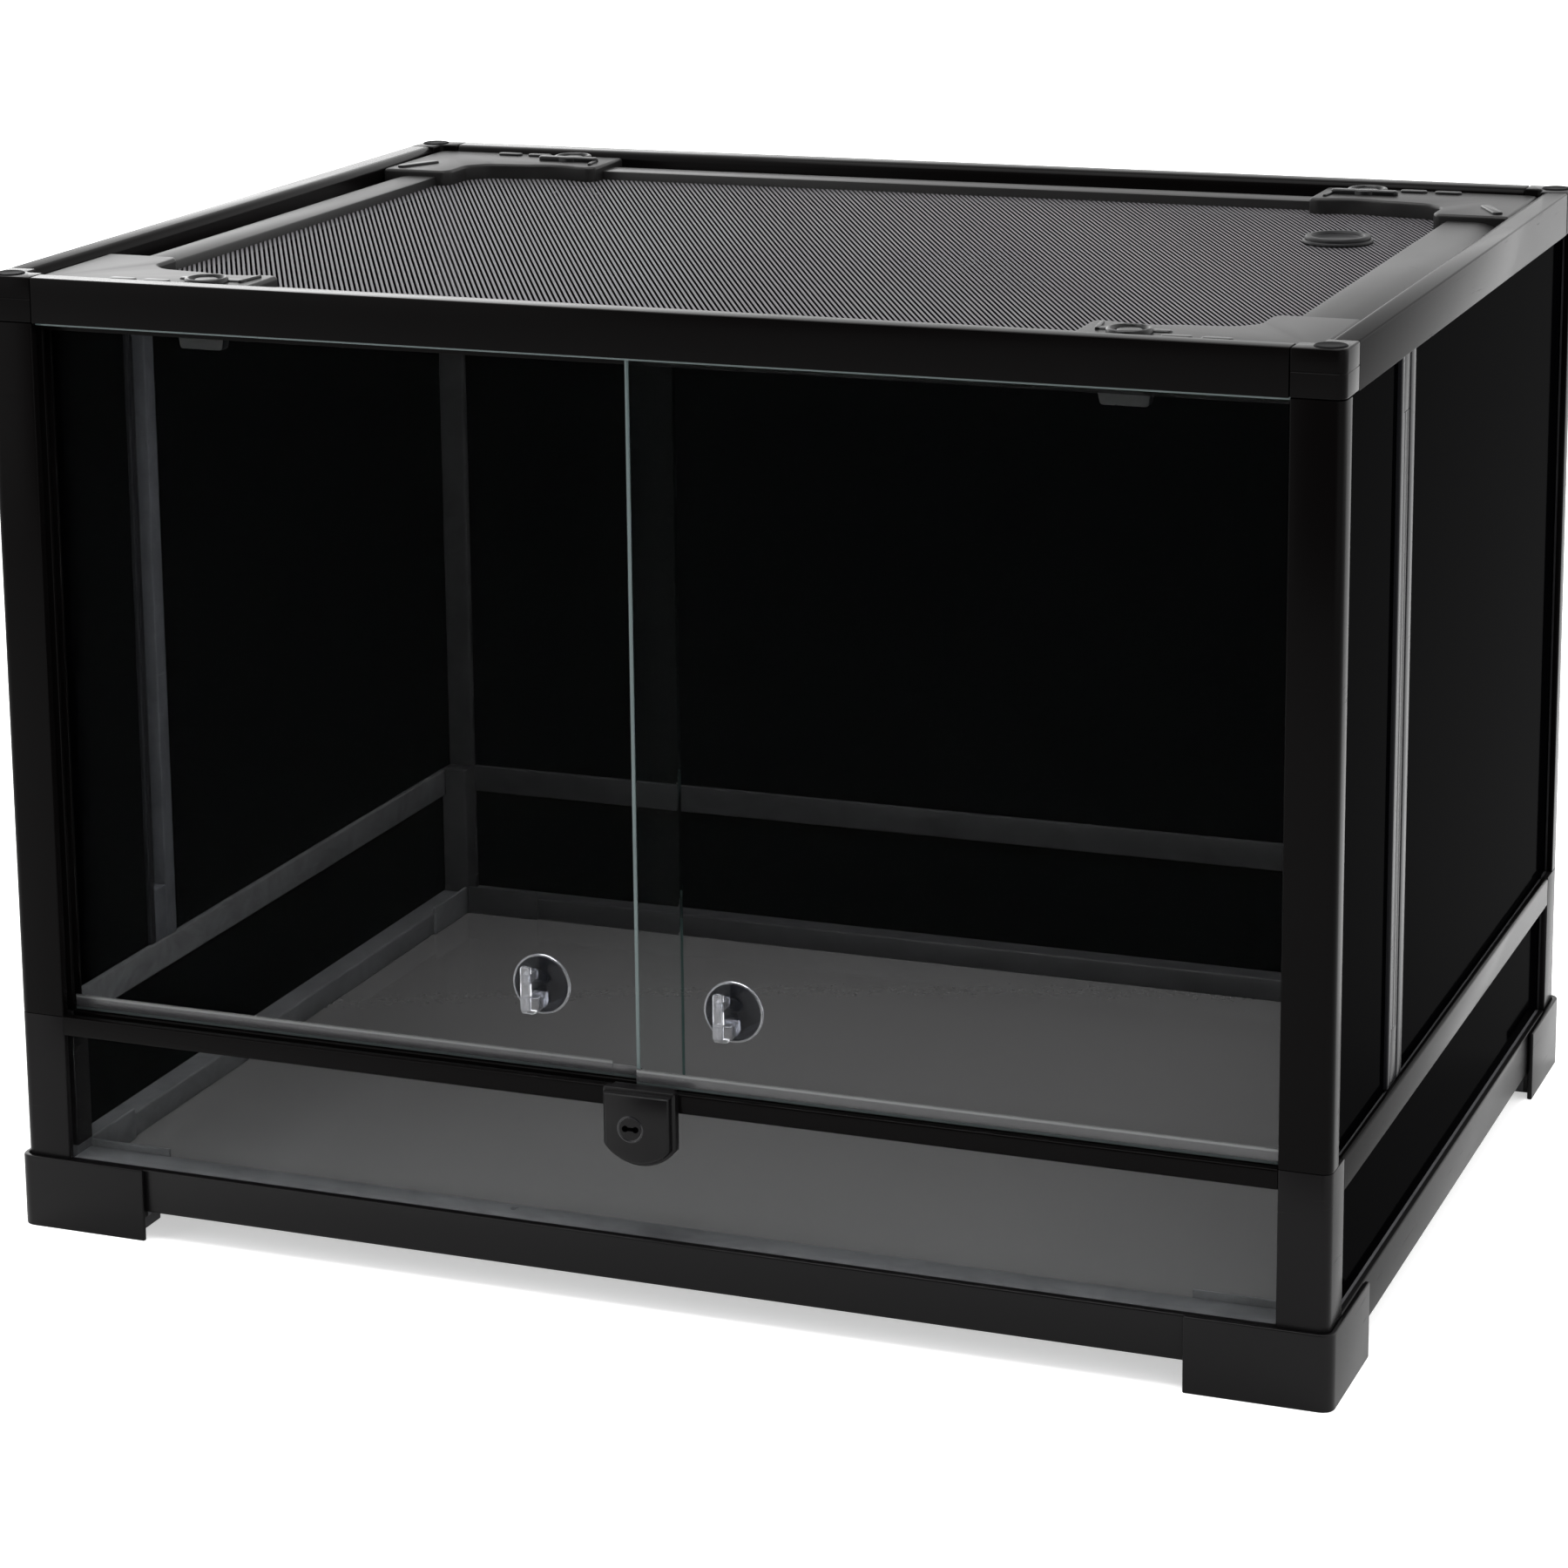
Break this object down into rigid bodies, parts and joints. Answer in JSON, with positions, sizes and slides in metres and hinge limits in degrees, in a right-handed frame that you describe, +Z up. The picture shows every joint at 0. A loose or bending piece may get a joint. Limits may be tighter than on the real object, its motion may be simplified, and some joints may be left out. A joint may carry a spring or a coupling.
{
  "type": "terrarium",
  "caption": "Front-opening glass reptile terrarium with sliding glass doors, a lock, side vents and a lift-off mesh lid with four latches.",
  "frame": {"origin": "middle of the enclosure, on the surface its feet stand on", "axes": "X runs along the front to the right, Y runs from the front to the back, Z is up"},
  "size_m": [0.605, 0.4605, 0.4356],
  "materials": {
    "frame_plastic": "satin",
    "lid_plastic": "satin",
    "clear_glass": "clear",
    "black_glass": "black backed",
    "floor": "gloss",
    "mesh": "woven wire",
    "rubber": "matte",
    "clear_plastic": "clear",
    "lock_metal": "blackened"
  },
  "bodies": {
    "enclosure": {"bottom_rail_front": "frame_plastic", "bottom_rail_back": "frame_plastic", "bottom_rail_left": "frame_plastic", "bottom_rail_right": "frame_plastic", "foot_front_left": "frame_plastic", "foot_front_right": "frame_plastic", "foot_back_left": "frame_plastic", "foot_back_right": "frame_plastic", "floor_panel": "floor", "lower_post_front_left": "frame_plastic", "lower_post_front_right": "frame_plastic", "lower_post_back_left": "frame_plastic", "lower_post_back_right": "frame_plastic", "lower_glass_front": "clear_glass", "lower_glass_back": "black_glass", "lower_glass_left": "black_glass", "lower_glass_right": "black_glass", "mid_rail_left": "frame_plastic", "mid_rail_right": "frame_plastic", "mid_rail_back": "frame_plastic", "door_track_lower": "frame_plastic", "upper_post_front_left": "frame_plastic", "upper_post_front_right": "frame_plastic", "upper_post_back_left": "frame_plastic", "upper_post_back_right": "frame_plastic", "side_glass_left_front": "black_glass", "side_glass_left_rear": "black_glass", "side_glass_right_front": "black_glass", "side_glass_right_rear": "black_glass", "back_glass": "black_glass", "vent_bar_left": "frame_plastic", "vent_bar_right": "frame_plastic", "vent_mesh": "mesh", "top_corner_front_left": "frame_plastic", "top_corner_front_right": "frame_plastic", "top_corner_back_left": "frame_plastic", "top_corner_back_right": "frame_plastic", "top_rail_front": "frame_plastic", "top_rail_back": "frame_plastic", "top_rail_left": "frame_plastic", "top_rail_right": "frame_plastic", "door_track_upper": "frame_plastic", "lock_housing": "frame_plastic"},
    "door_right_body": {"door_right": "clear_glass", "door_runner_right": "clear_plastic", "door_handle_right": "clear_plastic"},
    "door_left_body": {"door_left": "clear_glass", "door_runner_left": "clear_plastic"},
    "handle_left_body": {"door_handle_left": "clear_plastic"},
    "lid": {"lid_rail_long": "lid_plastic", "lid_rail_short": "lid_plastic", "lid_corners": "lid_plastic", "lid_mesh": "mesh", "cable_grommet": "rubber"},
    "latch_front_left_body": {"latch_front_left": "lid_plastic"},
    "latch_front_right_body": {"latch_front_right": "lid_plastic"},
    "latch_back_left_body": {"latch_back_left": "lid_plastic"},
    "latch_back_right_body": {"latch_back_right": "lid_plastic"},
    "lock_cylinder_body": {"lock_cylinder": "lock_metal"}
  },
  "joints": [
    {"name": "door_right_slide", "type": "slide", "parent": "enclosure", "child": "door_right_body", "axis": [1, 0, 0], "range_m": [-0.215, 0]},
    {"name": "door_left_slide", "type": "slide", "parent": "enclosure", "child": "door_left_body", "axis": [1, 0, 0], "range_m": [0, 0.015]},
    {"name": "handle_left_slide", "type": "slide", "parent": "door_left_body", "child": "handle_left_body", "axis": [1, 0, 0], "range_m": [-0.2, 0]},
    {"name": "lid_lift", "type": "slide", "parent": "enclosure", "child": "lid", "axis": [0, 0, 1], "range_m": [0, 0.12]},
    {"name": "latch_front_left_slide", "type": "slide", "parent": "lid", "child": "latch_front_left_body", "axis": [0, -1, 0], "range_m": [0, 0.0035]},
    {"name": "latch_front_right_slide", "type": "slide", "parent": "lid", "child": "latch_front_right_body", "axis": [0, -1, 0], "range_m": [0, 0.0035]},
    {"name": "latch_back_left_slide", "type": "slide", "parent": "lid", "child": "latch_back_left_body", "axis": [0, 1, 0], "range_m": [0, 0.0035]},
    {"name": "latch_back_right_slide", "type": "slide", "parent": "lid", "child": "latch_back_right_body", "axis": [0, 1, 0], "range_m": [0, 0.0035]},
    {"name": "lock_turn", "type": "hinge", "parent": "enclosure", "child": "lock_cylinder_body", "pos_m": [-0.0002, -0.2295, 0.0851], "axis": [0, -1, 0], "range_deg": [0, 90]}
  ],
  "couplings": [
    {"joint": "handle_left_slide", "follows": "door_right_slide", "ratio": 0.93}
  ]
}
